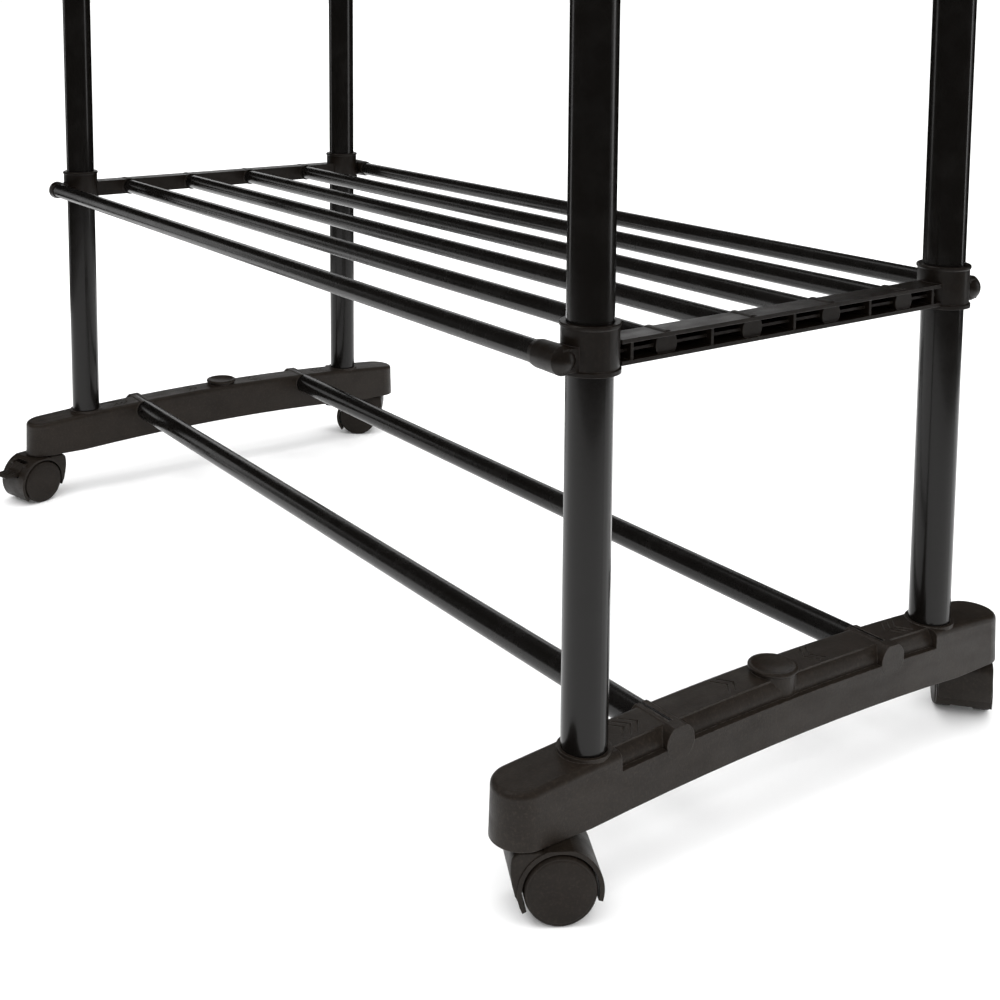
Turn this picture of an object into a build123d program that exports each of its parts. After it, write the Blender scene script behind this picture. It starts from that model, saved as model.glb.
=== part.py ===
"""Rolling clothes rack: two moulded feet on twin-wheel casters, four two-part uprights,
a slatted shelf, two lower rods and two hanging rails that rise and pull out.

Millimetres. X runs along the rack, Y from front to back, +Z up. The origin is on the
floor, midway between the four uprights.
"""

import os
from math import cos, radians, sin

from build123d import *

os.makedirs("parts", exist_ok=True)

# ---- rack -----------------------------------------------------------------------------
HALF_SPAN = 364.6  # upright axis from the middle, along X
HALF_DEPTH = 142.0  # upright axis from the middle, along Y
SIDES = {"left": -1, "right": 1}
ENDS = {"front": -1, "rear": 1}

# ---- uprights -------------------------------------------------------------------------
TUBE_R = 12.5
TUBE_BORE_R = 11.5
TUBE_FIT = 0.1  # gap round a tube in a moulded socket
LOWER_TUBE_FOOT_Z = 52.0
TUBE_JOINT_Z = 291.0  # lower tube ends and upper tube begins, inside the shelf sleeve
SPIGOT_R = 11.4
SPIGOT_LENGTH = 40.0
UPPER_TUBE_TOP = 905.0

# ---- feet -----------------------------------------------------------------------------
SEAT_Z = 41.3  # flat underside over the casters
FOOT_HALF_LENGTH = 200.5
FOOT_HALF_WIDTH = 16.5
FOOT_DRAFT = 1.5
FOOT_CROWN_Z = 79.6  # top of the arched beam, at its middle
FOOT_DEPTH = 33.2
FOOT_ARCH_R = 2330.0
FOOT_WALL = 2.6
ARCH_CENTRE_Z = FOOT_CROWN_Z - FOOT_ARCH_R
RECESS_HALF_LENGTH = 129.5
RECESS_DEPTH = 10.5
RECESS_WALL_X = 8.2
RECESS_ROLL = 4.0  # how far the recess's rounded wall runs out to its ledge
RECESS_ROLL_R = 11.0
LUG_WALL = 1.0
LUG_PROUD = 0.4  # how far a lug stands above the foot's top
FOOT_EDGE_R = 3.4
BOSS_R = 13.2
BOSS_TOP_Z = 81.2
CAP_R = 14.4
CAP_TOP_Z = 83.8
COLLAR_R = 14.7
COLLAR_HEIGHT = 1.2
CAP_PLUG_R = 8.0
GRIP_X = -3.0  # apex of the V-shaped grip lines, from the upright axis
GRIP_HALF_SPAN = 8.0
GRIP_WIDTH = 1.2
GRIP_DEPTH = 0.7

# ---- lower rods and shelf --------------------------------------------------------------
LOWER_ROD_R = 9.0
LOWER_ROD_BORE_R = 8.2
LOWER_ROD_Y = 87.4
LOWER_ROD_Z = 69.3
LOWER_ROD_SINK = 8.0  # how far past the upright axis a lower rod ends
SHELF_Z = 287.3
SHELF_ROD_R = 6.25
SHELF_ROD_BORE_R = 5.45
INNER_ROD_PITCH = 63.8
OUTER_ROD_OFFSET = 21.2  # outer rod axis from the upright axis
BAR_HALF_HEIGHT = 6.8
BAR_INNER_X = -7.0  # from the upright axis, towards the middle of the rack
BAR_OUTER_X = 9.0
BAR_WALL = 2.2
BAR_BOSS_R = 7.5
SOCKET_DOME = 5.0
LONG_SOCKET_MOUTH = -16.0
SHORT_SOCKET_MOUTH = -2.0
SLEEVE_R = 15.3
SLEEVE_BOTTOM_Z = SHELF_Z - 9.0
SLEEVE_TOP_Z = SHELF_Z + 17.0

# ---- hanging rails --------------------------------------------------------------------
INNER_TUBE_R = 11.15
INNER_TUBE_BORE_R = 10.25
INNER_TUBE_BOTTOM = 425.0
RAIL_Z = 1055.0
RAIL_REACH = 372.0
TEE_R = 15.5
TEE_POST_R = 14.5
TEE_BOTTOM = 1030.0
TEE_INNER_X = -30.0
TEE_OUTER_X = 20.0
NUT_R = 16.6
NUT_BOTTOM = 893.0
NUT_TOP = 925.0
NUT_RIBS = 14
STAY_R = 9.5  # pull-out rod
STAY_BORE_R = 8.7
STAY_LENGTH = 246.0
STAY_GUIDE_R = 9.58
STAY_STOP_R = 11.4
STAY_CAP_R = 13.0

# ---- casters --------------------------------------------------------------------------
STEM_Y = 181.0
STEM_R = 4.0
TRAIL = 16.0
WHEEL_R = 19.0
WHEEL_INNER = 6.8
WHEEL_OUTER = 17.8
HOOD_TOP = 40.5
HOOD_CLEAR_R = 20.0
HOOD_R = 22.4
HOOD_HALF_WIDTH = 17.0
STEM_BOSS_R = 5.6
# where the hood's shell ends before and behind the wheels, in degrees below their axle
PLAIN_TIPS = (29.0, 16.0)
BRAKED_TIPS = (8.0, 40.0)
AXLE_R = 2.0
PIN_FIT = 0.05
BRAKE_PIVOT = (29.4, 35.4)  # along the trail, above the floor
BRAKE_HALF_WIDTH = 8.0
TRUNNION_R = 1.1
TRUNNION_REACH = 10.5
# which way each caster trails, in degrees from +X
CASTER_HEADINGS = {
    ("left", "front"): -75.0,
    ("left", "rear"): -126.0,
    ("right", "front"): 61.5,
    ("right", "rear"): 132.0,
}
BRAKED = [("left", "front"), ("left", "rear")]


def save(builder, node):
    """Label a finished piece and write it as one STEP file."""
    builder.part.label = node
    export_step(builder.part, f"parts/{node}.step")


def across(x, y, z):
    """A plane whose normal runs along +X, for rods and rails."""
    return Plane(origin=(x, y, z), x_dir=(0, 1, 0), z_dir=(1, 0, 0))


def arch_plane(angle):
    """A plane through the arch's axis: its local Y is the radius, turned towards +Y."""
    normal = (0, -cos(radians(angle)), sin(radians(angle)))
    return Plane(origin=(0, 0, ARCH_CENTRE_Z), x_dir=(1, 0, 0), z_dir=normal)


def arch_angle(y):
    """Degrees along the foot's arch at a distance y from its middle."""
    return y / FOOT_ARCH_R * 57.29578


def crown_z(y):
    """Height of the foot's top at a distance y from its middle."""
    return ARCH_CENTRE_Z + (FOOT_ARCH_R**2 - y**2) ** 0.5


def dome_radius(base_r, height):
    """Radius of the ball whose cap has this base radius and height."""
    return (base_r**2 + height**2) / (2 * height)


def place_pair(builder, side_name, node):
    """Move a piece made for the right-hand end to its side; the left one turns half round."""
    turn = 0 if side_name == "right" else 180
    placed = Pos(SIDES[side_name] * HALF_SPAN, 0, 0) * Rot(0, 0, turn) * builder.part
    with BuildPart() as piece:
        add(placed)
    save(piece, node)


# ---- pieces of the base ----------------------------------------------------------------
def straight_tube(node, plane, length, outer_r, bore_r):
    """A plain tube drawn out of a plane."""
    with BuildPart() as tube:
        with BuildSketch(plane):
            Circle(outer_r)
            Circle(bore_r, mode=Mode.SUBTRACT)
        extrude(amount=length)
    save(tube, node)


def foot_plan(shrink):
    """The foot's stadium plan, shrunk evenly, on a level plane below the seats."""
    length = 2 * (FOOT_HALF_LENGTH - shrink)
    width = 2 * (FOOT_HALF_WIDTH - shrink)
    with BuildSketch(Plane.XY.offset(SEAT_Z - 4)) as plan:
        SlotOverall(length, width, rotation=90)
    return plan.sketch


def foot_side(drop):
    """The foot's side view, an arched beam with flat seats, lowered by a drop."""
    reach = FOOT_HALF_LENGTH + 5
    seat_from = 150.0
    end_z = crown_z(reach) - drop
    seat_z = SEAT_Z - drop
    under_z = FOOT_CROWN_Z - FOOT_DEPTH - drop
    with BuildSketch(Plane.YZ) as side:
        with BuildLine():
            ThreePointArc((-reach, end_z), (0, FOOT_CROWN_Z - drop), (reach, end_z))
            Polyline((reach, end_z), (reach, seat_z), (seat_from, seat_z))
            ThreePointArc((seat_from, seat_z), (0, under_z), (-seat_from, seat_z))
            Polyline((-seat_from, seat_z), (-reach, seat_z), (-reach, end_z))
        make_face()
    return side.sketch


def foot_hollow(drop, outer_x):
    """The space inside a foot, up to a drop below its top and out to outer_x."""
    with BuildPart() as hollow:
        extrude(foot_plan(FOOT_WALL), amount=46, taper=FOOT_DRAFT)
        extrude(foot_side(drop), amount=30, both=True, mode=Mode.INTERSECT)
        with Locations((outer_x, 0, 0)):
            Box(60, 500, 200, align=(Align.MAX, Align.CENTER, Align.CENTER),
                mode=Mode.INTERSECT)
    return hollow.part


def foot_lugs():
    """The round lugs through a foot that hold the lower rods, trimmed near its top."""
    reach = FOOT_HALF_WIDTH - 0.6
    with BuildPart() as lugs:
        with BuildSketch(across(-reach, 0, LOWER_ROD_Z)):
            with Locations((LOWER_ROD_Y, 0), (-LOWER_ROD_Y, 0)):
                Circle(LOWER_ROD_R + LUG_WALL)
        extrude(amount=2 * reach)
        extrude(foot_side(-LUG_PROUD), amount=30, both=True, mode=Mode.INTERSECT)
    return lugs.part


def grip_line(y, sweep):
    """One V-shaped grip line below the foot's top at y, its arms swept along Y."""
    points = [(GRIP_X - GRIP_HALF_SPAN, y - sweep), (GRIP_X, y),
              (GRIP_X + GRIP_HALF_SPAN, y - sweep)]
    with BuildSketch(Plane.XY.offset(crown_z(y) - GRIP_DEPTH)) as line:
        with BuildLine():
            Polyline(*points)
        trace(line_width=GRIP_WIDTH)
    return line.sketch


def foot(side_name):
    """A hollow moulded foot with its sockets, outer recess, lugs and grip lines.

    It is made with its outer face towards +X and turned half round for the left.
    """
    recess_arc = arch_angle(RECESS_HALF_LENGTH)
    deep_hollow = foot_hollow(FOOT_WALL, RECESS_WALL_X - FOOT_WALL)
    wide_hollow = foot_hollow(RECESS_DEPTH + FOOT_WALL, FOOT_HALF_WIDTH)
    lugs = foot_lugs()
    from_below = (Align.CENTER, Align.CENTER, Align.MIN)
    with BuildPart() as shell:
        extrude(foot_plan(0), amount=46, taper=FOOT_DRAFT)
        extrude(foot_side(0), amount=30, both=True, mode=Mode.INTERSECT)
        fillet(shell.faces().sort_by(Axis.Z)[-1].edges(), radius=FOOT_EDGE_R)
        # long recess along the outer top edge, with a rounded inner wall
        with BuildSketch(arch_plane(recess_arc)):
            with BuildLine():
                shoulder = (RECESS_WALL_X, FOOT_ARCH_R - 1.0)
                ledge = (RECESS_WALL_X + RECESS_ROLL, FOOT_ARCH_R - RECESS_DEPTH)
                RadiusArc(shoulder, ledge, RECESS_ROLL_R)
                Polyline(ledge, (20, FOOT_ARCH_R - RECESS_DEPTH), (20, FOOT_ARCH_R + 2),
                         (RECESS_WALL_X, FOOT_ARCH_R + 2), shoulder)
            make_face()
        arch_axis = Axis((0, 0, ARCH_CENTRE_Z), (1, 0, 0))
        revolve(axis=arch_axis, revolution_arc=2 * recess_arc, mode=Mode.SUBTRACT)
        # hollow underside with cross ribs
        add(deep_hollow, mode=Mode.SUBTRACT)
        add(wide_hollow, mode=Mode.SUBTRACT)
        with Locations(*[(0, y, 48.0) for y in (-116.0, -52.0, 52.0, 116.0)]):
            Box(29, 2.0, 17, align=from_below)
        # centre boss, upright sockets and caster sockets
        with Locations((0, 0, 50)):
            Cylinder(BOSS_R, BOSS_TOP_Z - 50, align=from_below)
        collar_height = crown_z(HALF_DEPTH) + COLLAR_HEIGHT - 46
        with Locations((0, HALF_DEPTH, 46), (0, -HALF_DEPTH, 46)):
            Cylinder(COLLAR_R, collar_height, align=from_below)
        with Locations((0, STEM_Y, SEAT_Z), (0, -STEM_Y, SEAT_Z)):
            Cylinder(9.0, crown_z(STEM_Y) - SEAT_Z - 1, align=from_below)
        add(lugs)
        # bores
        with Locations((0, HALF_DEPTH, LOWER_TUBE_FOOT_Z), (0, -HALF_DEPTH, LOWER_TUBE_FOOT_Z)):
            Cylinder(TUBE_R + TUBE_FIT, 60, align=from_below, mode=Mode.SUBTRACT)
        with Locations((0, STEM_Y, SEAT_Z - 1), (0, -STEM_Y, SEAT_Z - 1)):
            Cylinder(STEM_R + PIN_FIT, 25, align=from_below, mode=Mode.SUBTRACT)
        with Locations((0, 0, CAP_TOP_Z - 13)):
            Cylinder(CAP_PLUG_R + TUBE_FIT, 20, align=from_below, mode=Mode.SUBTRACT)
        with BuildSketch(across(-30, 0, LOWER_ROD_Z)):
            with Locations((LOWER_ROD_Y, 0), (-LOWER_ROD_Y, 0)):
                Circle(LOWER_ROD_R + TUBE_FIT)
        extrude(amount=30 + LOWER_ROD_SINK, mode=Mode.SUBTRACT)
        # grip lines on the top, three by each upright and two each side of the centre
        for towards in (-1, 1):
            for step in range(3):
                grip = grip_line(towards * (112.0 - 5.0 * step), towards * -7.0)
                extrude(grip, amount=5, mode=Mode.SUBTRACT)
            for step in range(2):
                grip = grip_line(towards * (34.0 - 5.0 * step), towards * -6.0)
                extrude(grip, amount=5, mode=Mode.SUBTRACT)
    place_pair(shell, side_name, f"{side_name}_foot")


def foot_cap(side_name):
    """The dished cap pressed into the middle of a foot."""
    x = SIDES[side_name] * HALF_SPAN
    with BuildPart() as cap:
        with BuildSketch(Plane(origin=(x, 0, 0), x_dir=(1, 0, 0), z_dir=(0, -1, 0))):
            with BuildLine():
                Polyline((0, CAP_TOP_Z - 12), (CAP_PLUG_R - 0.6, CAP_TOP_Z - 12),
                         (CAP_PLUG_R, BOSS_TOP_Z), (CAP_R - 0.6, BOSS_TOP_Z),
                         (CAP_R, BOSS_TOP_Z + 0.7))
                Line((CAP_R, BOSS_TOP_Z + 0.7), (CAP_R, CAP_TOP_Z - 0.9))
                ThreePointArc((CAP_R, CAP_TOP_Z - 0.9), (CAP_R - 1.3, CAP_TOP_Z),
                              (CAP_R - 2.8, CAP_TOP_Z - 0.5))
                RadiusArc((CAP_R - 2.8, CAP_TOP_Z - 0.5), (0, CAP_TOP_Z - 2.7),
                          dome_radius(CAP_R - 2.8, 2.2))
                Line((0, CAP_TOP_Z - 2.7), (0, CAP_TOP_Z - 12))
            make_face()
        revolve(axis=Axis((x, 0, 0), (0, 0, 1)))
    save(cap, f"{side_name}_foot_cap")


def lower_rod(end_name):
    """One of the two round rods that join the feet."""
    reach = HALF_SPAN + LOWER_ROD_SINK
    plane = across(-reach, ENDS[end_name] * LOWER_ROD_Y, LOWER_ROD_Z)
    straight_tube(f"{end_name}_lower_rod", plane, 2 * reach, LOWER_ROD_R, LOWER_ROD_BORE_R)


def upright_tubes(side_name, end_name):
    """The lower tube, from foot to shelf, and the upper tube with its drawn-down spigot."""
    x = SIDES[side_name] * HALF_SPAN
    y = ENDS[end_name] * HALF_DEPTH
    base = Plane.XY.offset(LOWER_TUBE_FOOT_Z).shift_origin((x, y, LOWER_TUBE_FOOT_Z))
    straight_tube(f"{side_name}_{end_name}_lower_tube", base,
                  TUBE_JOINT_Z - LOWER_TUBE_FOOT_Z, TUBE_R, TUBE_BORE_R)
    with BuildPart() as upper:
        with BuildSketch(Plane(origin=(x, y, 0), x_dir=(1, 0, 0), z_dir=(0, -1, 0))):
            with BuildLine():
                Polyline((SPIGOT_R - 1, TUBE_JOINT_Z - SPIGOT_LENGTH),
                         (SPIGOT_R, TUBE_JOINT_Z - SPIGOT_LENGTH),
                         (SPIGOT_R, TUBE_JOINT_Z), (TUBE_R, TUBE_JOINT_Z),
                         (TUBE_R, UPPER_TUBE_TOP), (TUBE_BORE_R, UPPER_TUBE_TOP),
                         (TUBE_BORE_R, TUBE_JOINT_Z + 4), (SPIGOT_R - 1, TUBE_JOINT_Z + 1),
                         close=True)
            make_face()
        revolve(axis=Axis((x, y, 0), (0, 0, 1)))
    save(upper, f"{side_name}_{end_name}_upper_tube")


# ---- shelf ----------------------------------------------------------------------------
def inner_rod_places():
    """Y of the four rods between the uprights."""
    return [INNER_ROD_PITCH * step for step in (-1.5, -0.5, 0.5, 1.5)]


def sleeve_wall(y):
    """Half section of the ring-edged sleeve that holds an upright at y."""
    with BuildSketch(Plane(origin=(0, y, 0), x_dir=(1, 0, 0), z_dir=(0, -1, 0))) as wall:
        with BuildLine():
            Polyline((TUBE_R + TUBE_FIT, SLEEVE_BOTTOM_Z), (SLEEVE_R + 0.9, SLEEVE_BOTTOM_Z),
                     (SLEEVE_R + 0.9, SLEEVE_BOTTOM_Z + 2.2), (SLEEVE_R, SLEEVE_BOTTOM_Z + 2.8),
                     (SLEEVE_R, SLEEVE_TOP_Z - 2.4), (SLEEVE_R + 0.7, SLEEVE_TOP_Z - 1.8),
                     (SLEEVE_R + 0.7, SLEEVE_TOP_Z - 0.5), (SLEEVE_R + 0.2, SLEEVE_TOP_Z),
                     (TUBE_R + TUBE_FIT, SLEEVE_TOP_Z), close=True)
        make_face()
    return wall.sketch


def rod_socket(y, mouth_x, dome_x, outer_r):
    """Half section of a closed socket for an outer shelf rod, from mouth to domed end."""
    with BuildSketch(Plane(origin=(0, y, SHELF_Z), x_dir=(1, 0, 0), z_dir=(0, -1, 0))) as half:
        with BuildLine():
            Polyline((dome_x, 0), (mouth_x, 0), (mouth_x, outer_r - 0.9),
                     (mouth_x + 3, outer_r - 0.3), (dome_x - SOCKET_DOME, outer_r))
            RadiusArc((dome_x - SOCKET_DOME, outer_r), (dome_x, 0),
                      dome_radius(outer_r, SOCKET_DOME))
        make_face()
    return half.sketch


def shelf_end_bar(side_name):
    """The moulded bar across one end of the shelf, with its two upright sleeves.

    The bar is an open channel that faces outwards. Its front socket is the long one, and
    the left bar is the same moulding turned half round.
    """
    places = inner_rod_places()
    sleeve_gap = HALF_DEPTH - SLEEVE_R + 1.5
    channel_depth = BAR_OUTER_X - BAR_INNER_X
    mid_x = (BAR_INNER_X + BAR_OUTER_X) / 2
    with BuildPart() as bar:
        with Locations((mid_x, 0, SHELF_Z)):
            Box(channel_depth, 2 * sleeve_gap, 2 * BAR_HALF_HEIGHT)
        with Locations((mid_x + BAR_WALL, 0, SHELF_Z)):
            Box(channel_depth, 2 * sleeve_gap + 1, 2 * (BAR_HALF_HEIGHT - BAR_WALL),
                mode=Mode.SUBTRACT)
        # ribs across the channel, one along it, and a boss for each inner rod
        with Locations(*[(mid_x, INNER_ROD_PITCH * step, SHELF_Z) for step in (-1, 0, 1)],
                       (mid_x, 121, SHELF_Z), (mid_x, -121, SHELF_Z)):
            Box(channel_depth - 1.0, 1.8, 2 * BAR_HALF_HEIGHT - 0.4)
        with Locations((mid_x - 2.0, 0, SHELF_Z)):
            Box(channel_depth - 4.0, 2 * sleeve_gap, 1.6)
        with BuildSketch(across(BAR_INNER_X - 0.6, 0, SHELF_Z)):
            with Locations(*[(y, 0) for y in places]):
                Circle(BAR_BOSS_R)
        extrude(amount=channel_depth - 1.4)
        # upright sleeves and the arms out to the outer rods
        for y in (-HALF_DEPTH, HALF_DEPTH):
            revolve(sleeve_wall(y), axis=Axis((0, y, 0), (0, 0, 1)))
            reach = OUTER_ROD_OFFSET * (1 if y > 0 else -1)
            with Locations((1.0, y + reach * 0.82, SHELF_Z)):
                Box(13.0, 12.0, 12.4)
        front_y = -HALF_DEPTH - OUTER_ROD_OFFSET
        rear_y = HALF_DEPTH + OUTER_ROD_OFFSET
        revolve(rod_socket(front_y, LONG_SOCKET_MOUTH, 9.5, 7.9),
                axis=Axis((0, front_y, SHELF_Z), (1, 0, 0)))
        revolve(rod_socket(rear_y, SHORT_SOCKET_MOUTH, 9.8, 7.9),
                axis=Axis((0, rear_y, SHELF_Z), (1, 0, 0)))
        # bores
        with Locations((0, HALF_DEPTH, SHELF_Z), (0, -HALF_DEPTH, SHELF_Z)):
            Cylinder(TUBE_R + TUBE_FIT, 80, mode=Mode.SUBTRACT)
        with BuildSketch(across(-30, 0, SHELF_Z)):
            with Locations((front_y, 0), (rear_y, 0), *[(y, 0) for y in places]):
                Circle(SHELF_ROD_R + TUBE_FIT)
        extrude(amount=36, mode=Mode.SUBTRACT)
    place_pair(bar, side_name, f"{side_name}_shelf_bar")


def shelf_rods():
    """Two outer rods, each its own piece, and the four inner rods as one group."""
    reach = HALF_SPAN + 5.5
    for end_name, sign in ENDS.items():
        plane = across(-reach, sign * (HALF_DEPTH + OUTER_ROD_OFFSET), SHELF_Z)
        straight_tube(f"{end_name}_shelf_rod", plane, 2 * reach, SHELF_ROD_R, SHELF_ROD_BORE_R)
    with BuildPart() as rods:
        with BuildSketch(across(-reach, 0, SHELF_Z)):
            with Locations(*[(y, 0) for y in inner_rod_places()]):
                Circle(SHELF_ROD_R)
                Circle(SHELF_ROD_BORE_R, mode=Mode.SUBTRACT)
        extrude(amount=2 * reach)
    save(rods, "shelf_inner_rods")


# ---- hanging rails --------------------------------------------------------------------
def lock_nut(side_name, end_name):
    """The ribbed twist nut on top of an upright, which grips the inner tube."""
    x = SIDES[side_name] * HALF_SPAN
    y = ENDS[end_name] * HALF_DEPTH
    ledge = UPPER_TUBE_TOP + 0.3
    with BuildPart() as nut:
        with BuildSketch(Plane(origin=(x, y, 0), x_dir=(1, 0, 0), z_dir=(0, -1, 0))):
            with BuildLine():
                Polyline((TUBE_R + PIN_FIT, NUT_BOTTOM), (NUT_R - 1.2, NUT_BOTTOM),
                         (NUT_R, NUT_BOTTOM + 2), (NUT_R, NUT_TOP - 9),
                         (NUT_R - 3.2, NUT_TOP), (INNER_TUBE_R + PIN_FIT, NUT_TOP),
                         (INNER_TUBE_R + PIN_FIT, ledge), (TUBE_R + PIN_FIT, ledge),
                         close=True)
            make_face()
        revolve(axis=Axis((x, y, 0), (0, 0, 1)))
        with BuildSketch(Plane(origin=(x, y, NUT_BOTTOM + 2.5), z_dir=(0, 0, 1))):
            with PolarLocations(NUT_R - 0.4, NUT_RIBS):
                Circle(1.5)
        extrude(amount=NUT_TOP - 10 - NUT_BOTTOM - 2.5)
    save(nut, f"{side_name}_{end_name}_lock_nut")


def inner_tube(side_name, end_name):
    """The tube that slides in an upright and carries one end of a rail."""
    x = SIDES[side_name] * HALF_SPAN
    y = ENDS[end_name] * HALF_DEPTH
    base = Plane(origin=(x, y, INNER_TUBE_BOTTOM), z_dir=(0, 0, 1))
    straight_tube(f"{side_name}_{end_name}_inner_tube", base,
                  RAIL_Z - TEE_R + 1.0 - INNER_TUBE_BOTTOM, INNER_TUBE_R, INNER_TUBE_BORE_R)


def rail_tee(side_name, end_name):
    """The moulded tee that joins an inner tube to a rail and guides the pull-out rod."""
    side = SIDES[side_name]
    x = side * HALF_SPAN
    y = ENDS[end_name] * HALF_DEPTH
    inner_x = x + side * TEE_INNER_X
    outward = Plane(origin=(inner_x, y, RAIL_Z), x_dir=(0, 1, 0), z_dir=(side, 0, 0))
    length = TEE_OUTER_X - TEE_INNER_X
    with BuildPart() as tee:
        with BuildSketch(outward):
            Circle(TEE_R)
        extrude(amount=length)
        with BuildSketch(Plane(origin=(x, y, TEE_BOTTOM), z_dir=(0, 0, 1))):
            Circle(TEE_POST_R)
        extrude(amount=RAIL_Z - TEE_BOTTOM)
        fillet(tee.edges().filter_by(GeomType.CIRCLE).group_by(Axis.Z)[0], radius=1.0)
        with BuildSketch(outward):
            Circle(TUBE_R + TUBE_FIT)
        extrude(amount=RAIL_REACH + 0.2 - HALF_SPAN - TEE_INNER_X, mode=Mode.SUBTRACT)
        with BuildSketch(outward):
            Circle(STAY_GUIDE_R)
        extrude(amount=length + 1, mode=Mode.SUBTRACT)
        with BuildSketch(Plane(origin=(x, y, TEE_BOTTOM - 1), z_dir=(0, 0, 1))):
            Circle(INNER_TUBE_R + TUBE_FIT)
        extrude(amount=RAIL_Z - TEE_R + 1.0 - TEE_BOTTOM + 1, mode=Mode.SUBTRACT)
    save(tee, f"{side_name}_{end_name}_rail_tee")


def hanging_rail(end_name):
    """The long tube that clothes hang on."""
    plane = across(-RAIL_REACH, ENDS[end_name] * HALF_DEPTH, RAIL_Z)
    straight_tube(f"{end_name}_hanging_rail", plane, 2 * RAIL_REACH, TUBE_R, TUBE_BORE_R)


def pull_out_rod(side_name, end_name):
    """A rod that slides out of a rail's end, with a wide stop on its hidden end."""
    side = SIDES[side_name]
    tip_x = side * (HALF_SPAN + TEE_OUTER_X + 4.0)
    y = ENDS[end_name] * HALF_DEPTH
    inward = Plane(origin=(tip_x, y, RAIL_Z), x_dir=(0, 1, 0), z_dir=(-side, 0, 0))
    with BuildPart() as rod:
        with BuildSketch(inward):
            Circle(STAY_R)
            Circle(STAY_BORE_R, mode=Mode.SUBTRACT)
        extrude(amount=STAY_LENGTH)
        with BuildSketch(inward.offset(STAY_LENGTH - 6)):
            Circle(STAY_STOP_R)
            Circle(STAY_BORE_R, mode=Mode.SUBTRACT)
        extrude(amount=6)
    save(rod, f"{side_name}_{end_name}_pull_rod")


def pull_out_cap(side_name, end_name):
    """The round end cap on a pull-out rod."""
    side = SIDES[side_name]
    face_x = side * (HALF_SPAN + TEE_OUTER_X + 0.8)
    y = ENDS[end_name] * HALF_DEPTH
    with BuildPart() as cap:
        with BuildSketch(Plane(origin=(face_x, y, RAIL_Z), x_dir=(side, 0, 0), z_dir=(0, -side, 0))):
            with BuildLine():
                Polyline((0, STAY_R + PIN_FIT), (0, STAY_CAP_R - 1), (1, STAY_CAP_R),
                         (9, STAY_CAP_R))
                RadiusArc((9, STAY_CAP_R), (15, 0), dome_radius(STAY_CAP_R, 6))
                Polyline((15, 0), (3.3, 0), (3.3, STAY_R + PIN_FIT), (0, STAY_R + PIN_FIT))
            make_face()
        revolve(axis=Axis((face_x, y, RAIL_Z), (side, 0, 0)))
    save(cap, f"{side_name}_{end_name}_pull_cap")


# ---- casters --------------------------------------------------------------------------
def caster_base(side_name, end_name):
    """A floor plane under a caster's stem: its local X points where the caster trails."""
    heading = radians(CASTER_HEADINGS[side_name, end_name])
    x = SIDES[side_name] * HALF_SPAN
    y = ENDS[end_name] * STEM_Y
    return Plane(origin=(x, y, 0), x_dir=(cos(heading), sin(heading), 0), z_dir=(0, 0, 1))


def trail_plane(base, sideways=0.0):
    """The upright plane along a caster's trail, moved sideways along its axle."""
    origin = base.from_local_coords(Vector(0, sideways, 0))
    return Plane(origin=origin, x_dir=base.x_dir, z_dir=-base.y_dir)


def caster_stems():
    """The four steel stems, one group: each is pressed up into a foot."""
    with BuildPart() as stems:
        for side in SIDES.values():
            for end in ENDS.values():
                x = side * HALF_SPAN
                y = end * STEM_Y
                with BuildSketch(Plane(origin=(x, y, 0), x_dir=(1, 0, 0), z_dir=(0, -1, 0))):
                    with BuildLine():
                        Polyline((0, 23.5), (STEM_R - 0.6, 23.5), (STEM_R, 24.1),
                                 (STEM_R, HOOD_TOP + 0.1), (6.4, HOOD_TOP + 0.1), (6.4, SEAT_Z),
                                 (STEM_R, SEAT_Z), (STEM_R, 63.4), (STEM_R - 0.8, 64.6),
                                 (0, 64.6), close=True)
                    make_face()
                revolve(axis=Axis((x, y, 0), (0, 0, 1)))
    save(stems, "caster_stems")


def wheel_arc(angle, radius):
    """A point at an angle and a radius round the wheels' axle, in a caster's upright plane."""
    return (TRAIL + radius * cos(radians(angle)), WHEEL_R + radius * sin(radians(angle)))


def hood_outline(base, tips):
    """Side view of the hood: a round shell that ends in a tip before and behind the wheels."""
    front_tip, rear_tip = tips
    with BuildSketch(trail_plane(base)) as outline:
        with Locations((TRAIL, WHEEL_R)):
            Circle(HOOD_R)
        with BuildLine():
            Polyline((TRAIL, WHEEL_R), wheel_arc(180 + front_tip, 60), (TRAIL - 60, -60),
                     (TRAIL + 60, -60), wheel_arc(-rear_tip, 60), close=True)
        make_face(mode=Mode.SUBTRACT)
        with Locations((TRAIL, HOOD_TOP)):
            Rectangle(60, 20, align=(Align.CENTER, Align.MIN), mode=Mode.SUBTRACT)
    return outline.sketch


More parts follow.
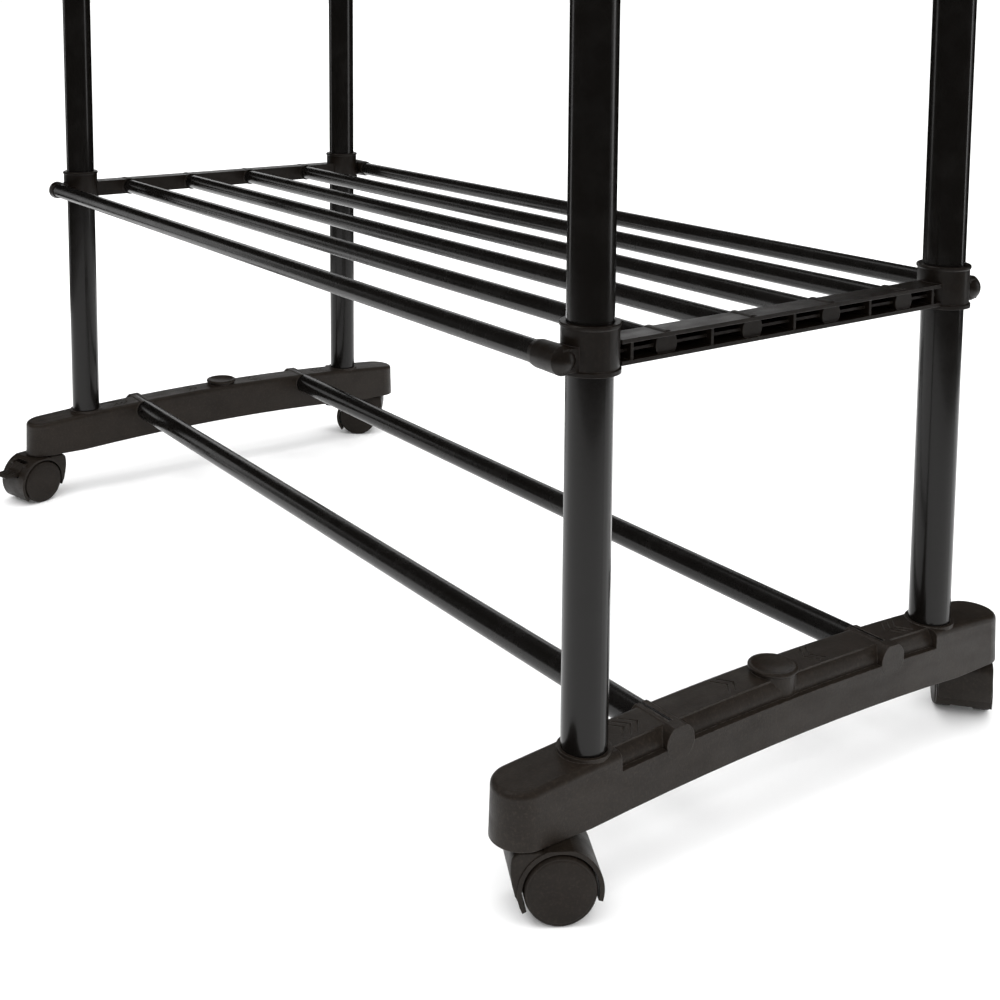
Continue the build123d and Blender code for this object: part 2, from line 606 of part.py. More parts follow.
def caster_hood(side_name, end_name, braked):
    """The moulded hood that hugs both wheels, with its stem boss and central web."""
    base = caster_base(side_name, end_name)
    upright = trail_plane(base)
    outline = hood_outline(base, BRAKED_TIPS if braked else PLAIN_TIPS)
    web_half = WHEEL_INNER - 0.5
    stem_foot = base.from_local_coords(Vector(0, 0, 22))
    with BuildPart() as hood:
        extrude(outline, amount=HOOD_HALF_WIDTH, both=True)
        with BuildSketch(upright):
            with Locations((TRAIL, WHEEL_R)):
                Circle(HOOD_CLEAR_R)
        extrude(amount=HOOD_HALF_WIDTH + 1, both=True, mode=Mode.SUBTRACT)
        # central web round the axle, and the boss round the stem
        with BuildSketch(upright):
            with Locations((TRAIL, WHEEL_R)):
                Circle(9.0)
            with Locations((TRAIL - 3, WHEEL_R)):
                Rectangle(22, HOOD_CLEAR_R - 2, align=(Align.CENTER, Align.MIN))
            with Locations((TRAIL, WHEEL_R)):
                Circle(HOOD_CLEAR_R + 0.5, mode=Mode.INTERSECT)
        extrude(amount=web_half, both=True)
        with BuildSketch(Plane(origin=stem_foot, z_dir=(0, 0, 1))):
            Circle(STEM_BOSS_R)
        extrude(amount=HOOD_TOP - 22)
        with BuildSketch(Plane(origin=stem_foot, z_dir=(0, 0, 1)).offset(1.2)):
            Circle(STEM_R + PIN_FIT)
        extrude(amount=30, mode=Mode.SUBTRACT)
        with BuildSketch(upright):
            with Locations((TRAIL, WHEEL_R)):
                Circle(AXLE_R + PIN_FIT)
        extrude(amount=30, both=True, mode=Mode.SUBTRACT)
        if braked:
            # lugs for the lever's trunnions, and the slot that it lies in
            with BuildSketch(upright):
                with Locations(BRAKE_PIVOT):
                    Circle(TRUNNION_R + 1.4)
                with Locations((TRAIL, WHEEL_R)):
                    Circle(HOOD_CLEAR_R, mode=Mode.SUBTRACT)
            extrude(amount=TRUNNION_REACH + 1.4, both=True)
            with BuildSketch(upright):
                with BuildLine():
                    Polyline(wheel_arc(18, 18.0), wheel_arc(18, 30), wheel_arc(62, 30),
                             wheel_arc(62, 18.0), close=True)
                make_face()
                with Locations((TRAIL, WHEEL_R)):
                    Circle(HOOD_CLEAR_R - 1.2, mode=Mode.SUBTRACT)
            extrude(amount=BRAKE_HALF_WIDTH + 0.4, both=True, mode=Mode.SUBTRACT)
            with BuildSketch(upright):
                with Locations(BRAKE_PIVOT):
                    Circle(TRUNNION_R + PIN_FIT)
            extrude(amount=TRUNNION_REACH + 0.3, both=True, mode=Mode.SUBTRACT)
    save(hood, f"{side_name}_{end_name}_caster_hood")


def caster_axle(side_name, end_name):
    """The steel pin that both wheels of a caster turn on."""
    upright = trail_plane(caster_base(side_name, end_name))
    with BuildPart() as axle:
        with BuildSketch(upright):
            with Locations((TRAIL, WHEEL_R)):
                Circle(AXLE_R)
        extrude(amount=WHEEL_OUTER - 1.8, both=True)
    save(axle, f"{side_name}_{end_name}_caster_axle")


def caster_wheel(side_name, end_name, which, sign):
    """One of a caster's two wheels: a tread with a dished outer disc over a blind hub."""
    base = caster_base(side_name, end_name)
    inner_face = base.from_local_coords(Vector(TRAIL, sign * WHEEL_INNER, WHEEL_R))
    axle_dir = base.y_dir * sign
    width = WHEEL_OUTER - WHEEL_INNER
    with BuildPart() as wheel:
        with BuildSketch(Plane(origin=inner_face, x_dir=axle_dir, z_dir=base.x_dir * sign)):
            with BuildLine():
                Polyline((0, AXLE_R + PIN_FIT), (0, 6), (1.5, 6), (1.5, WHEEL_R - 3),
                         (0, WHEEL_R - 3), (0, WHEEL_R - 0.8), (0.8, WHEEL_R),
                         (width - 2.0, WHEEL_R))
                ThreePointArc((width - 2.0, WHEEL_R), (width - 0.6, WHEEL_R - 0.6),
                              (width, WHEEL_R - 2.0))
                Polyline((width, WHEEL_R - 2.0), (width - 0.5, WHEEL_R - 2.5),
                         (width - 0.5, WHEEL_R - 5.0), (width - 0.2, WHEEL_R - 6.0),
                         (width - 0.2, 0), (width - 1.6, 0), (width - 1.6, AXLE_R + PIN_FIT),
                         (0, AXLE_R + PIN_FIT))
            make_face()
        revolve(axis=Axis(inner_face, axle_dir))
    save(wheel, f"{side_name}_{end_name}_{which}_wheel")


def brake_lever(side_name, end_name):
    """The foot lever that presses on the wheels, with its moulded trunnions."""
    upright = trail_plane(caster_base(side_name, end_name))
    with BuildPart() as lever:
        with BuildSketch(upright):
            with BuildLine():
                Polyline(wheel_arc(21, 20.3), wheel_arc(21, 23.6), (TRAIL + 34.5, WHEEL_R + 9.4),
                         (TRAIL + 35.4, WHEEL_R + 10.6), (TRAIL + 34.6, WHEEL_R + 11.6),
                         wheel_arc(29, 25.0), wheel_arc(34, 23.0), wheel_arc(52, 22.6),
                         wheel_arc(55, 20.3))
                RadiusArc(wheel_arc(55, 20.3), wheel_arc(21, 20.3), 20.3)
            make_face()
        extrude(amount=BRAKE_HALF_WIDTH, both=True)
        with BuildSketch(upright):
            with Locations(BRAKE_PIVOT):
                Circle(TRUNNION_R)
        extrude(amount=TRUNNION_REACH, both=True)
    save(lever, f"{side_name}_{end_name}_brake_lever")


# ---- build ----------------------------------------------------------------------------
for end in ENDS:
    lower_rod(end)
    hanging_rail(end)
shelf_rods()
caster_stems()
for side in SIDES:
    foot(side)
    foot_cap(side)
    shelf_end_bar(side)
    for end in ENDS:
        upright_tubes(side, end)
        lock_nut(side, end)
        inner_tube(side, end)
        rail_tee(side, end)
        pull_out_rod(side, end)
        pull_out_cap(side, end)
        braked = (side, end) in BRAKED
        caster_hood(side, end, braked)
        caster_axle(side, end)
        caster_wheel(side, end, "near", 1)
        caster_wheel(side, end, "far", -1)
        if braked:
            brake_lever(side, end)
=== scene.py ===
"""Looks of the rolling clothes rack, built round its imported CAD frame.

Every length is in metres and every piece stands in the CAD frame: X along the rack, Y from
front to back, Z up, with the floor at zero.
"""

import logging
import math
from dataclasses import dataclass, field
from enum import Enum

import bmesh
import bpy
from mathutils import Matrix, Vector


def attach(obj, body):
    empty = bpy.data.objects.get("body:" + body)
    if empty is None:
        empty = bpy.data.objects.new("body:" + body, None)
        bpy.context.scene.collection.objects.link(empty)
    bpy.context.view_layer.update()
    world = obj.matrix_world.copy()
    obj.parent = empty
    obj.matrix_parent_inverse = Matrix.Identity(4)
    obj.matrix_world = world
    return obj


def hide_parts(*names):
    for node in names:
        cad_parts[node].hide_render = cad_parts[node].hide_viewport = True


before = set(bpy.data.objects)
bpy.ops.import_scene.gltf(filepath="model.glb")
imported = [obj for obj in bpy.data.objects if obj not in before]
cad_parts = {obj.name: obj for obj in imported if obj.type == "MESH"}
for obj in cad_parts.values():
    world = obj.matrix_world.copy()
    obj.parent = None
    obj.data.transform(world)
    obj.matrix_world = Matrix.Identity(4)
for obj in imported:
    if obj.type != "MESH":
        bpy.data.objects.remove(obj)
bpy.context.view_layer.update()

log = logging.getLogger("clothes_rack")
SIDES: dict[str, int] = {"left": -1, "right": 1}
ENDS: dict[str, int] = {"front": -1, "rear": 1}


# ---- finishes -------------------------------------------------------------------------
class Graph:
    """A small helper that lays nodes into one material."""

    def __init__(self, name: str) -> None:
        """Start an empty material with a Principled shader.

        Args:
            name: the material's name.
        """
        self.material = bpy.data.materials.new(name)
        self.material.use_nodes = True
        self.nodes = self.material.node_tree.nodes
        self.links = self.material.node_tree.links
        self.shader = self.nodes["Principled BSDF"]
        self.place = self.nodes.new("ShaderNodeTexCoord").outputs["Object"]

    def link(self, source: bpy.types.NodeSocket, target: bpy.types.NodeSocket) -> None:
        """Join two sockets."""
        self.links.new(source, target)

    def scaled(self, scale: tuple[float, float, float]) -> bpy.types.NodeSocket:
        """Object coordinates stretched by a Mapping node.

        Args:
            scale: the factor along X, Y and Z.

        Returns:
            The mapped vector.
        """
        mapping = self.nodes.new("ShaderNodeMapping")
        mapping.inputs["Scale"].default_value = scale
        self.link(self.place, mapping.inputs["Vector"])
        return mapping.outputs["Vector"]

    def noise(
        self,
        scale: float,
        detail: float = 3.0,
        roughness: float = 0.5,
        stretch: tuple[float, float, float] | None = None,
    ) -> bpy.types.NodeSocket:
        """A noise pattern on object coordinates.

        Args:
            scale: features per metre.
            detail: octaves.
            roughness: weight of the finer octaves.
            stretch: an optional stretch of the coordinates.

        Returns:
            The noise value, about 0.5 in the middle.
        """
        node = self.nodes.new("ShaderNodeTexNoise")
        node.inputs["Scale"].default_value = scale
        node.inputs["Detail"].default_value = detail
        node.inputs["Roughness"].default_value = roughness
        self.link(self.scaled(stretch) if stretch else self.place, node.inputs["Vector"])
        return node.outputs["Fac"]

    def spread(
        self, source: bpy.types.NodeSocket, low: float, high: float, to_low: float, to_high: float
    ) -> bpy.types.NodeSocket:
        """Map one range of values onto another, clamped.

        Args:
            source: the value to map.
            low: start of the range read.
            high: end of the range read.
            to_low: value given at low.
            to_high: value given at high.

        Returns:
            The mapped value.
        """
        node = self.nodes.new("ShaderNodeMapRange")
        for name, value in (("From Min", low), ("From Max", high), ("To Min", to_low), ("To Max", to_high)):
            node.inputs[name].default_value = value
        self.link(source, node.inputs["Value"])
        return node.outputs["Result"]

    def blend(
        self,
        factor: bpy.types.NodeSocket,
        first: tuple[float, float, float] | bpy.types.NodeSocket,
        second: tuple[float, float, float],
    ) -> bpy.types.NodeSocket:
        """Mix two colours.

        Args:
            factor: 0 for the first colour and 1 for the second.
            first: a colour, or a socket that gives one.
            second: a colour.

        Returns:
            The mixed colour.
        """
        node = self.nodes.new("ShaderNodeMix")
        node.data_type = "RGBA"
        self.link(factor, node.inputs["Factor"])
        if isinstance(first, bpy.types.NodeSocket):
            self.link(first, node.inputs["A"])
        else:
            node.inputs["A"].default_value = (*first, 1.0)
        node.inputs["B"].default_value = (*second, 1.0)
        return node.outputs["Result"]

    def bump(
        self,
        height: bpy.types.NodeSocket,
        distance: float,
        strength: float = 1.0,
        under: bpy.types.NodeSocket | None = None,
    ) -> bpy.types.NodeSocket:
        """A bump over an optional earlier normal.

        Args:
            height: the height pattern.
            distance: metres that a height of one stands for.
            strength: share of the bump that shows.
            under: the normal below this bump.

        Returns:
            The new normal.
        """
        node = self.nodes.new("ShaderNodeBump")
        node.inputs["Distance"].default_value = distance
        node.inputs["Strength"].default_value = strength
        self.link(height, node.inputs["Height"])
        if under is not None:
            self.link(under, node.inputs["Normal"])
        return node.outputs["Normal"]

    def soft_edge(self, radius: float) -> bpy.types.NodeSocket:
        """A normal that rounds sharp edges by a small radius."""
        node = self.nodes.new("ShaderNodeBevel")
        node.samples = 6
        node.inputs["Radius"].default_value = radius
        return node.outputs["Normal"]

    def edge_wear_and_highlight(self, rounded: bpy.types.NodeSocket, strength: float) -> bpy.types.NodeSocket:
        """How far a point lies on an edge, for edge wear and a painted edge highlight.

        Args:
            rounded: the normal of soft_edge.
            strength: how quickly the mask grows towards the edge.

        Returns:
            0 on a flat and up to 1 on an edge.
        """
        geometry = self.nodes.new("ShaderNodeNewGeometry")
        dot = self.nodes.new("ShaderNodeVectorMath")
        dot.operation = "DOT_PRODUCT"
        self.link(rounded, dot.inputs[0])
        self.link(geometry.outputs["Normal"], dot.inputs[1])
        return self.spread(dot.outputs["Value"], 1.0, 1.0 - strength, 0.0, 1.0)


@dataclass(frozen=True)
class MouldedPlastic:
    """Injection-moulded plastic with a fine grain, flow mottling and edges lightened partly by wear and
    partly by a painted highlight.
    """

    name: str
    colour: tuple[float, float, float]
    # The lighter edge colour stands for wear and for a painted edge highlight.
    wear_and_highlight_colour: tuple[float, float, float]
    roughness: float
    grain_per_m: float
    grain_depth: float
    edge_radius: float = 0.0006
    specular: float = 0.16
    shade: float = 0.74
    fleck: float = 1.9
    wear_and_highlight_reach: float = 0.16

    def material(self) -> bpy.types.Material:
        """Build the material.

        Returns:
            The finished material.
        """
        g = Graph(self.name)
        rounded = g.soft_edge(self.edge_radius)
        mottle = g.noise(38.0, 4.0, 0.6)
        grain = g.noise(self.grain_per_m, 2.0, 0.55)
        flow = g.noise(120.0, 3.0, 0.5, stretch=(1.0, 0.35, 1.0))
        dark = tuple(c * self.shade for c in self.colour)
        body = g.blend(g.spread(mottle, 0.35, 0.65, 0.0, 1.0), dark, self.colour)
        speck = g.noise(620.0, 4.0, 0.7)
        light = tuple(c * self.fleck for c in self.colour)
        body = g.blend(g.spread(speck, 0.50, 0.72, 0.0, 0.75), body, light)
        # Painted highlight and wear: edges blend towards the lighter colour, broken into patches by noise.
        wear_and_highlight_mask = g.edge_wear_and_highlight(rounded, self.wear_and_highlight_reach)
        wear_and_highlight_patches = g.spread(g.noise(260.0, 4.0, 0.65), 0.40, 0.62, 0.15, 0.85)
        wear_and_highlight_amount = g.nodes.new("ShaderNodeMath")
        wear_and_highlight_amount.operation = "MULTIPLY"
        g.link(wear_and_highlight_mask, wear_and_highlight_amount.inputs[0])
        g.link(wear_and_highlight_patches, wear_and_highlight_amount.inputs[1])
        g.link(g.blend(wear_and_highlight_amount.outputs["Value"], body, self.wear_and_highlight_colour), g.shader.inputs["Base Color"])
        rough = g.spread(flow, 0.3, 0.7, self.roughness - 0.07, self.roughness + 0.08)
        g.link(rough, g.shader.inputs["Roughness"])
        waves = g.bump(g.noise(70.0, 2.0, 0.4), 0.0006, 0.35, rounded)
        g.link(g.bump(grain, self.grain_depth, 0.8, waves), g.shader.inputs["Normal"])
        g.shader.inputs["Specular IOR Level"].default_value = self.specular
        return g.material


@dataclass(frozen=True)
class Enamel:
    """Black stoving enamel on drawn steel tube, glossy with a faint orange peel."""

    name: str
    colour: tuple[float, float, float]
    roughness: float
    length_axis: int
    coat: float = 0.12
    coat_roughness: float = 0.10
    specular: float = 0.20
    fleck: float = 1.9
    fleck_lift: float = 0.004
    draw_stretch: float = 0.08

    def material(self) -> bpy.types.Material:
        """Build the material.

        Returns:
            The finished material.
        """
        g = Graph(self.name)
        along = [1.0, 1.0, 1.0]
        along[self.length_axis] = self.draw_stretch
        draw_lines = g.noise(900.0, 2.0, 0.5, stretch=tuple(along))
        peel = g.noise(420.0, 2.0, 0.45)
        dust = g.noise(55.0, 5.0, 0.65)
        light = tuple(c * self.fleck + self.fleck_lift for c in self.colour)
        g.link(
            g.blend(g.spread(dust, 0.45, 0.78, 0.0, 0.30), self.colour, light),
            g.shader.inputs["Base Color"],
        )
        rough = g.spread(dust, 0.3, 0.75, self.roughness - 0.03, self.roughness + 0.05)
        g.link(rough, g.shader.inputs["Roughness"])
        skin = g.bump(draw_lines, 0.00002, 0.4)
        g.link(g.bump(peel, 0.00003, 0.5, skin), g.shader.inputs["Normal"])
        g.shader.inputs["Coat Weight"].default_value = self.coat
        g.shader.inputs["Coat Roughness"].default_value = self.coat_roughness
        g.shader.inputs["Specular IOR Level"].default_value = self.specular
        return g.material


@dataclass(frozen=True)
class PlatedSteel:
    """Zinc-plated steel with turning marks."""

    name: str
    colour: tuple[float, float, float]
    roughness: float
    dulling: float = 0.72

    def material(self) -> bpy.types.Material:
        """Build the material.

        Returns:
            The finished material.
        """
        g = Graph(self.name)
        clouds = g.noise(180.0, 4.0, 0.6)
        marks = g.noise(2400.0, 1.0, 0.5, stretch=(0.2, 0.2, 1.0))
        dull = tuple(c * self.dulling for c in self.colour)
        g.link(
            g.blend(g.spread(clouds, 0.35, 0.7, 0.0, 1.0), self.colour, dull),
            g.shader.inputs["Base Color"],
        )
        rough = g.spread(clouds, 0.3, 0.7, self.roughness - 0.06, self.roughness + 0.12)
        g.link(rough, g.shader.inputs["Roughness"])
        g.link(g.bump(marks, 0.00002, 0.6), g.shader.inputs["Normal"])
        g.shader.inputs["Metallic"].default_value = 1.0
        return g.material


class Finish(Enum):
    """The rack's finishes, each with the record's slot that it stands for."""

    UPRIGHT = "enamelled_tube"
    ROD = "enamelled_tube_lengthwise"
    PLATED = "plain_steel"
    FOOT = "moulded_foot"
    FITTING = "moulded_fitting"
    CASTER = "moulded_caster"
    WHEEL = "moulded_wheel"

    @property
    def slot(self) -> str:
        """The record's material slot."""
        return self.value.removesuffix("_lengthwise")


@dataclass
class Palette:
    """All the rack's materials, each built once."""

    # Each plastic's second colour lightens its edges: partly wear, partly a painted edge highlight.
    recipes: dict[Finish, MouldedPlastic | Enamel | PlatedSteel] = field(
        default_factory=lambda: {
            Finish.UPRIGHT: Enamel("upright_enamel", (0.0036, 0.0031, 0.0027), 0.22, 2),
            Finish.ROD: Enamel("rod_enamel", (0.0040, 0.0035, 0.0031), 0.26, 0),
            Finish.PLATED: PlatedSteel("zinc_plate", (0.62, 0.62, 0.63), 0.32),
            Finish.FOOT: MouldedPlastic(
                "foot_plastic",
                (0.0142, 0.0106, 0.0079),
                (0.070, 0.062, 0.055),
                0.42,
                1500.0,
                0.00016,
                specular=0.18,
            ),
            Finish.FITTING: MouldedPlastic(
                "fitting_plastic",
                (0.0058, 0.0039, 0.0026),
                (0.036, 0.031, 0.027),
                0.38,
                2800.0,
                0.00006,
                specular=0.23,
            ),
            Finish.CASTER: MouldedPlastic(
                "caster_plastic", (0.0120, 0.0090, 0.0066), (0.038, 0.033, 0.029), 0.44, 2800.0, 0.00006
            ),
            Finish.WHEEL: MouldedPlastic(
                "wheel_plastic", (0.0108, 0.0078, 0.0056), (0.034, 0.030, 0.026), 0.50, 3000.0, 0.00007
            ),
        }
    )
    made: dict[Finish, bpy.types.Material] = field(default_factory=dict)

    def get(self, finish: Finish) -> bpy.types.Material:
        """The material of a finish, built when it is first asked for."""
        if finish not in self.made:
            self.made[finish] = self.recipes[finish].material()
        return self.made[finish]

    def dress(self, finish: Finish, *nodes: str) -> None:
        """Give CAD nodes a finish in place of the plain one they came with.

        Args:
            finish: the finish they get.
            nodes: names of CAD nodes.
        """
        for name in nodes:
            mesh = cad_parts[name].data
            mesh.materials.clear()
            mesh.materials.append(self.get(finish))
            log.info("%s wears %s", name, self.get(finish).name)


# ---- modelling ------------------------------------------------------------------------
MM = 0.001


class Shape:
    """A mesh under construction, in millimetres about its own axis."""

    def __init__(self) -> None:
        """Start with an empty mesh."""
        self.bm = bmesh.new()

    def turn(self, outline: list[tuple[float, float]], closed: bool, steps: int) -> None:
        """Spin an outline once round local Z.

        Args:
            outline: radius and height of each corner, in order.
            closed: whether the last corner joins the first; otherwise both ends lie on the axis.
            steps: facets in the full turn.
        """
        corners = [self.bm.verts.new((radius, 0.0, height)) for radius, height in outline]
        ends = corners[1:] + corners[:1] if closed else corners[1:]
        sides = [self.bm.edges.new(pair) for pair in zip(corners, ends)]
        bmesh.ops.spin(
            self.bm,
            geom=corners + sides,
            cent=(0.0, 0.0, 0.0),
            axis=(0.0, 0.0, 1.0),
            dvec=(0.0, 0.0, 0.0),
            angle=math.tau,
            steps=steps,
            use_merge=True,
        )
        bmesh.ops.remove_doubles(self.bm, verts=self.bm.verts, dist=0.001)
        bmesh.ops.recalc_face_normals(self.bm, faces=self.bm.faces)

    def sector_faces(
        self, radii: tuple[float, float], heights: tuple[float, float], count: int, share: float
    ) -> list[bmesh.types.BMFace]:
        """Faces whose middles lie in evenly spaced sectors of a band.

        Args:
            radii: the band's least and greatest radius.
            heights: the band's least and greatest height.
            count: how many sectors go round.
            share: the part of each pitch that a sector takes.

        Returns:
            The faces.
        """
        found = []
        for face in self.bm.faces:
            middle = face.calc_center_median()
            turned = (math.atan2(middle.y, middle.x) / math.tau * count) % 1.0
            in_band = radii[0] < math.hypot(middle.x, middle.y) < radii[1]
            if in_band and heights[0] < middle.z < heights[1] and turned < share:
                found.append(face)
        return found

    def raise_faces(
        self, faces: list[bmesh.types.BMFace], lift: float = 0.0, spread: float = 1.0
    ) -> None:
        """Extrude faces along the axis, outwards, or both.

        Args:
            faces: the faces to raise.
            lift: how far they go along the axis.
            spread: the factor on their distance from the axis.
        """
        raised = bmesh.ops.extrude_face_region(self.bm, geom=faces)
        moved = [v for v in raised["geom"] if isinstance(v, bmesh.types.BMVert)]
        bmesh.ops.delete(self.bm, geom=faces, context="FACES_ONLY")
        bmesh.ops.scale(self.bm, vec=(spread, spread, 1.0), verts=moved)
        bmesh.ops.translate(self.bm, vec=(0.0, 0.0, lift), verts=moved)
        bmesh.ops.recalc_face_normals(self.bm, faces=self.bm.faces)

    def soften(self, width: float, sharper_than: float = 35.0, segments: int = 3) -> None:
        """Round every edge that is sharper than an angle.

        Args:
            width: how far back the rounding reaches.
            sharper_than: the angle in degrees.
            segments: facets across the rounding.
        """
        limit = math.radians(sharper_than)
        sharp = [e for e in self.bm.edges if len(e.link_faces) == 2 and e.calc_face_angle() > limit]
        bmesh.ops.bevel(
            self.bm,
            geom=sharp,
            offset=width,
            offset_type="OFFSET",
            affect="EDGES",
            segments=segments,
            profile=0.5,
            clamp_overlap=True,
            material=-1,
        )

    def block(self, size: tuple[float, float, float], middle: tuple[float, float, float]) -> None:
        """Add a box that soften can round.

        Args:
            size: its size along each axis.
            middle: where its middle is.
        """
        place = Matrix.Translation(middle) @ Matrix.Diagonal((*size, 1.0))
        bmesh.ops.create_cube(self.bm, size=1.0, matrix=place)

    def flat_faces(self, height: float) -> list[bmesh.types.BMFace]:
        """Faces that look up the axis and lie at a height."""
        return [
            face
            for face in self.bm.faces
            if face.normal.z > 0.99 and abs(face.calc_center_median().z - height) < 0.01
        ]

    def cut_cross(self, reach: float, width: float, top: float, depth: float) -> None:
        """Sink a cross-shaped driver recess into a flat top face round the axis.

        Args:
            reach: how far each arm of the cross goes from the axis.
            width: how wide an arm is.
            top: the height of the flat top face.
            depth: how deep the recess is.
        """
        half = width / 2
        for offset in (-reach, -half, half, reach):
            for axis in ((1.0, 0.0, 0.0), (0.0, 1.0, 0.0)):
                flat = self.flat_faces(top)
                edges = list({e for f in flat for e in f.edges})
                corners = list({v for f in flat for v in f.verts})
                bmesh.ops.bisect_plane(
                    self.bm,
                    geom=flat + edges + corners,
                    dist=0.0001,
                    plane_co=Vector(axis) * offset,
                    plane_no=axis,
                )
        arms = []
        for face in self.flat_faces(top):
            middle = face.calc_center_median()
            near, far = sorted((abs(middle.x), abs(middle.y)))
            if near < half and far < reach:
                arms.append(face)
        self.raise_faces(arms, lift=-depth)

    def place(
        self, name: str, where: Matrix, material: bpy.types.Material, smooth: float = 32.0
    ) -> bpy.types.Object:
        """Turn the mesh into an object at the origin with its place in its vertices.

        Args:
            name: the piece's name.
            where: carries the mesh's own axes, in metres, into the CAD frame.
            material: its finish.
            smooth: edges blunter than this many degrees shade smoothly.

        Returns:
            The object.
        """
        bmesh.ops.transform(self.bm, matrix=where @ Matrix.Scale(MM, 4), verts=self.bm.verts)
        bmesh.ops.recalc_face_normals(self.bm, faces=self.bm.faces)
        mesh = bpy.data.meshes.new(name)
        self.bm.to_mesh(mesh)
        self.bm.free()
        mesh.materials.append(material)
        mesh.shade_smooth()
        mesh.set_sharp_from_angle(angle=math.radians(smooth))
        piece = bpy.data.objects.new(name, mesh)
        bpy.context.scene.collection.objects.link(piece)
        log.info("%s has %d faces", name, len(mesh.polygons))
        return piece


def facing(origin: tuple[float, float, float], axis: tuple[float, float, float]) -> Matrix:
    """A place whose local Z looks along an axis.

    Args:
        origin: the place, in millimetres.
        axis: the direction local Z takes.

    Returns:
        The matrix, in metres.
    """
    turn = Vector(axis).to_track_quat("Z", "Y").to_matrix().to_4x4()
    return Matrix.Translation(Vector(origin) * MM) @ turn


# ---- sub-assemblies -------------------------------------------------------------------
@dataclass
class Base:
    """The two moulded feet and the rods that join them."""

    palette: Palette
    half_span: float = 364.6
    cap_radius: float = 14.4
    cap_top: float = 83.8
    cap_seat: float = 81.2
    plug_radius: float = 8.0
    plug_length: float = 9.4
    bowl_radius: float = 11.2
    bowl_depth: float = 2.6

    def cap(self, side: str) -> None:
        """Turn one foot's centre cap: a plug under a dish with a thick rolled lip.

        Args:
            side: the side that the foot stands on.
        """
        seat, top = self.cap_seat, self.cap_top
        lip = (self.cap_radius + self.bowl_radius) / 2
        bowl = [
            (self.bowl_radius * share, top - self.bowl_depth * (1.0 - 0.72 * share**2.6))
            for share in (1.0, 0.96, 0.9, 0.8, 0.65, 0.45, 0.22, 0.0)
        ]
        shape = Shape()
        shape.turn(
            [
                (0.0, seat - self.plug_length),
                (self.plug_radius - 0.8, seat - self.plug_length),
                (self.plug_radius, seat - self.plug_length + 1.2),
                (self.plug_radius, seat),
                (self.cap_radius - 0.7, seat),
                (self.cap_radius - 0.1, seat + 0.6),
                (self.cap_radius, seat + 1.3),
                (self.cap_radius - 0.15, top - 0.75),
                (self.cap_radius - 0.6, top - 0.25),
                (lip + 0.3, top),
                (lip - 0.4, top - 0.03),
                (self.bowl_radius + 0.45, top - 0.22),
                *bowl,
            ],
            closed=False,
            steps=96,
        )
        where = facing((SIDES[side] * self.half_span, 0.0, 0.0), (0.0, 0.0, 1.0))
        piece = shape.place(f"{side}_dished_cap", where, self.palette.get(Finish.FOOT), 50.0)
        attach(piece, "frame")
        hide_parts(f"{side}_foot_cap")

    def build(self) -> None:
        """Dress the base and turn its caps."""
        for side in SIDES:
            self.palette.dress(Finish.FOOT, f"{side}_foot")
            self.cap(side)
        for end in ENDS:
            self.palette.dress(Finish.ROD, f"{end}_lower_rod")


@dataclass
class Uprights:
    """The four two-part uprights."""

    palette: Palette

    def build(self) -> None:
        """Dress the uprights."""
        for side in SIDES:
            for end in ENDS:
                self.palette.dress(
                    Finish.UPRIGHT, f"{side}_{end}_lower_tube", f"{side}_{end}_upper_tube"
                )


@dataclass
class Shelf:
    """The slatted shelf and its two end bars."""

    palette: Palette

    def build(self) -> None:
        """Dress the shelf."""
        self.palette.dress(Finish.FITTING, "left_shelf_bar", "right_shelf_bar")
        self.palette.dress(Finish.ROD, "front_shelf_rod", "rear_shelf_rod", "shelf_inner_rods")


